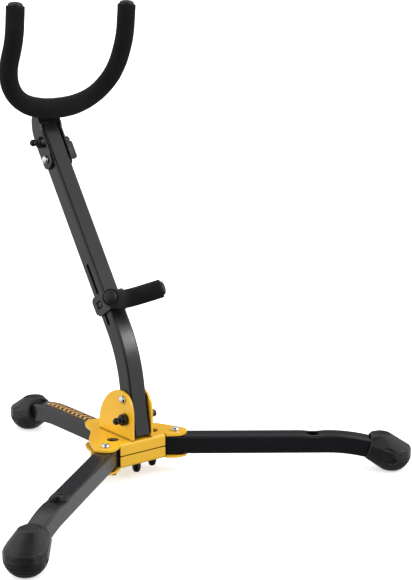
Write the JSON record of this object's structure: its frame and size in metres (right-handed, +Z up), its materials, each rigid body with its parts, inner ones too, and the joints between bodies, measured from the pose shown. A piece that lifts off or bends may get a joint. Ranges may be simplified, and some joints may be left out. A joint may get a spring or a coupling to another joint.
{
  "type": "folding saxophone stand",
  "caption": "Folding stand for a saxophone: padded U yoke on a leaning upright, sliding padded rest, and folding splayed legs on a yellow hub with rubber feet.",
  "frame": {"origin": "middle of the footprint's bounding box, on the floor", "axes": "+Z up; -Y towards the player, where the rest and the two front legs are; +Y along the single back leg; +X to the right as seen from the player's side"},
  "size_m": [0.4842, 0.3914, 0.4771],
  "materials": {
    "yellow_paint": "satin yellow enamel, lightly worn at the edges",
    "black_paint": "satin black powder coat",
    "dark_steel": "dark grey satin coat on pressed steel",
    "chrome_rivet": "bright plated domed rivet",
    "zinc_rod": "plain drawn steel bar",
    "foam": "fine grained black closed cell foam sleeve",
    "foot_rubber": "satin moulded black rubber",
    "black_plastic": "glossy black moulded plastic"
  },
  "bodies": {
    "hub": {"hub_top_plate": "yellow_paint", "hub_bottom_plate": "yellow_paint", "upright_clevis": "yellow_paint", "clevis_rivet": "chrome_rivet", "back_leg_rivet": "chrome_rivet", "left_leg_rivet": "chrome_rivet", "right_leg_rivet": "chrome_rivet", "upright_rivet": "chrome_rivet", "hub_bumper": "black_plastic", "base_pin_housing": "black_plastic", "base_pin_end": "black_plastic", "back_leg": "black_paint", "back_foot": "foot_rubber"},
    "left_leg": {"left_leg": "black_paint", "left_foot": "foot_rubber", "left_leg_plug": "foot_rubber"},
    "right_leg": {"right_leg": "black_paint", "right_foot": "foot_rubber"},
    "left_lock": {"left_leg_pin": "black_plastic"},
    "right_lock": {"right_leg_pin": "black_plastic"},
    "base_lock": {"base_pull_pin": "black_plastic"},
    "upright": {"upright_tube": "black_paint", "left_spacer": "black_plastic", "right_spacer": "black_plastic"},
    "rest": {"rest_clamp": "dark_steel", "rest_pin": "dark_steel", "rest_rod": "zinc_rod", "rest_foam": "foam", "left_rest_cap": "black_plastic", "right_rest_cap": "black_plastic"},
    "yoke": {"yoke_bracket": "dark_steel", "yoke_rivet": "chrome_rivet", "yoke_bolt": "dark_steel", "yoke_pin_housing": "black_plastic", "yoke_pin_end": "dark_steel", "yoke_rod": "zinc_rod", "yoke_foam": "foam", "left_yoke_cap": "foam", "right_yoke_cap": "foam"},
    "yoke_lock": {"yoke_pull_pin": "black_plastic"}
  },
  "joints": [
    {"name": "left_leg_fold", "type": "hinge", "parent": "hub", "child": "left_leg", "pos_m": [-0.04351, -0.03963, 0.0305], "axis": [0, 0, 1], "range_deg": [0, 52]},
    {"name": "right_leg_fold", "type": "hinge", "parent": "hub", "child": "right_leg", "pos_m": [0.04351, -0.03963, 0.0305], "axis": [0, 0, -1], "range_deg": [0, 52]},
    {"name": "left_leg_pin_pull", "type": "slide", "parent": "hub", "child": "left_lock", "axis": [0, 0, -1], "range_m": [0, 0.0035], "stiffness_N_per_m": 400, "springref_m": -0.002},
    {"name": "right_leg_pin_pull", "type": "slide", "parent": "hub", "child": "right_lock", "axis": [0, 0, -1], "range_m": [0, 0.0035], "stiffness_N_per_m": 400, "springref_m": -0.002},
    {"name": "base_pin_pull", "type": "slide", "parent": "hub", "child": "base_lock", "axis": [-1, 0, 0], "range_m": [0, 0.0035], "stiffness_N_per_m": 400, "springref_m": -0.002},
    {"name": "upright_fold", "type": "hinge", "parent": "hub", "child": "upright", "pos_m": [0, -0.02718, 0.0839], "axis": [1, 0, 0], "range_deg": [0, 95]},
    {"name": "rest_height", "type": "slide", "parent": "upright", "child": "rest", "axis": [0, 0.5635, 0.8261], "range_m": [-0.02, 0.042]},
    {"name": "yoke_fold", "type": "hinge", "parent": "upright", "child": "yoke", "pos_m": [0, 0.10638, 0.31266], "axis": [1, 0, 0], "range_deg": [0, 90]},
    {"name": "yoke_pin_pull", "type": "slide", "parent": "yoke", "child": "yoke_lock", "axis": [-1, 0, 0], "range_m": [0, 0.0035], "stiffness_N_per_m": 400, "springref_m": -0.002}
  ]
}
